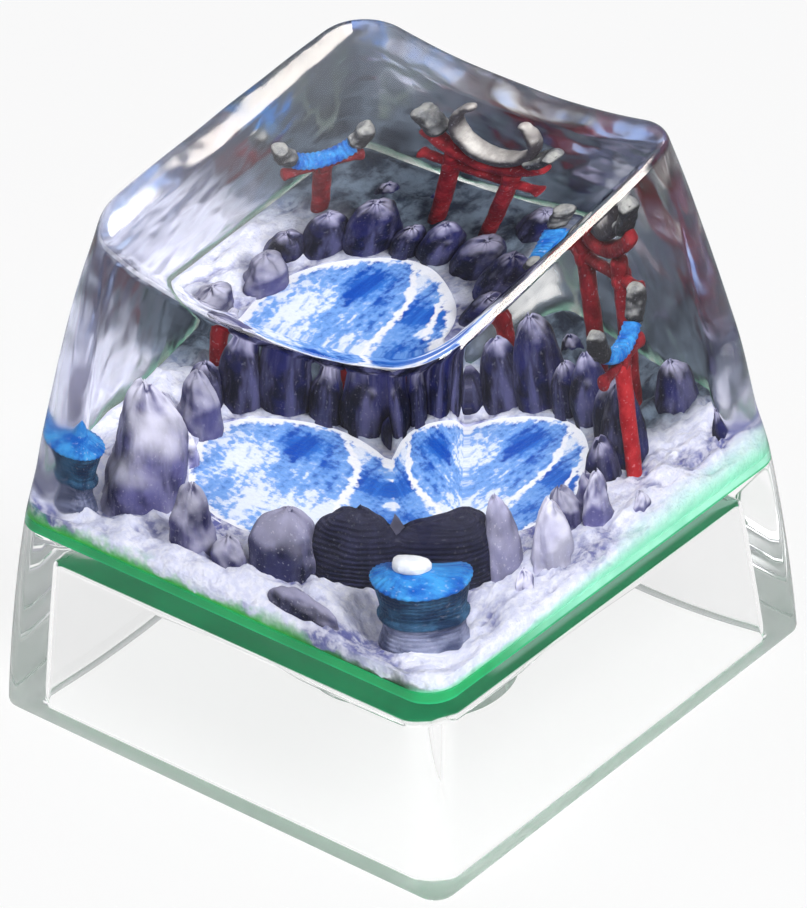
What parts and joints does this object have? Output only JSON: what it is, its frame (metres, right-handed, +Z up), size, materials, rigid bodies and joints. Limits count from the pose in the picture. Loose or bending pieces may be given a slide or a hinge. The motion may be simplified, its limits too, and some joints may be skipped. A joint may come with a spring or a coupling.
{
  "type": "keycap",
  "caption": "Clear cast keycap with a miniature snowy garden, red gates and a blue pond set in the resin, a green layer below, and a hollow skirt with a cross stem.",
  "frame": {"origin": "centre of the flat rim that the cap rests on", "axes": "+Z up through the dished top, -Y towards the front face, +X to the right"},
  "size_m": [0.0182, 0.0182, 0.0183],
  "materials": {
    "clear_resin": "water-clear cast resin, polished to a gloss",
    "green_resin": "thin clear emerald resin",
    "snow": "white and pale lavender snow paste, stippled",
    "pond_blue": "blue glaze with white veins",
    "rock_navy": "navy and purple paint with lavender tops",
    "rock_lavender": "lavender-grey paint with navy shadow",
    "gate_red": "dark red paint on a printed miniature",
    "bright_red": "red paint on a printed miniature",
    "cap_grey": "pale grey paint",
    "moon_stone": "beige white with a dark grey edge",
    "roof_blue": "bright blue paint with fine ribs",
    "stone_slate": "grey-blue stone paint",
    "bowl_teal": "dark teal paint",
    "snow_white": "white paint"
  },
  "bodies": {
    "root": {"crown": "clear_resin", "green_layer": "green_resin", "skirt": "clear_resin", "snow_bank": "snow", "pond_water": "pond_blue", "back_rocks": "rock_navy", "rear_stones": "rock_navy", "left_boulders": "rock_lavender", "front_boulders": "rock_navy", "right_rocks": "rock_lavender", "torii_posts": "gate_red", "torii_tie_beam": "gate_red", "torii_lintel": "gate_red", "torii_ridge_caps": "cap_grey", "crescent_moon": "moon_stone", "left_gate_post": "gate_red", "left_gate_beam": "gate_red", "left_gate_roof": "roof_blue", "left_gate_caps": "cap_grey", "right_gate_post": "bright_red", "right_gate_beam": "gate_red", "right_gate_roof": "roof_blue", "right_gate_caps": "cap_grey", "left_lantern_pedestal": "stone_slate", "left_lantern_bowl": "bowl_teal", "left_lantern_roof": "roof_blue", "left_lantern_finial": "snow_white", "front_lantern_pedestal": "stone_slate", "front_lantern_bowl": "bowl_teal", "front_lantern_roof": "roof_blue", "front_lantern_finial": "snow_white"}
  },
  "joints": []
}
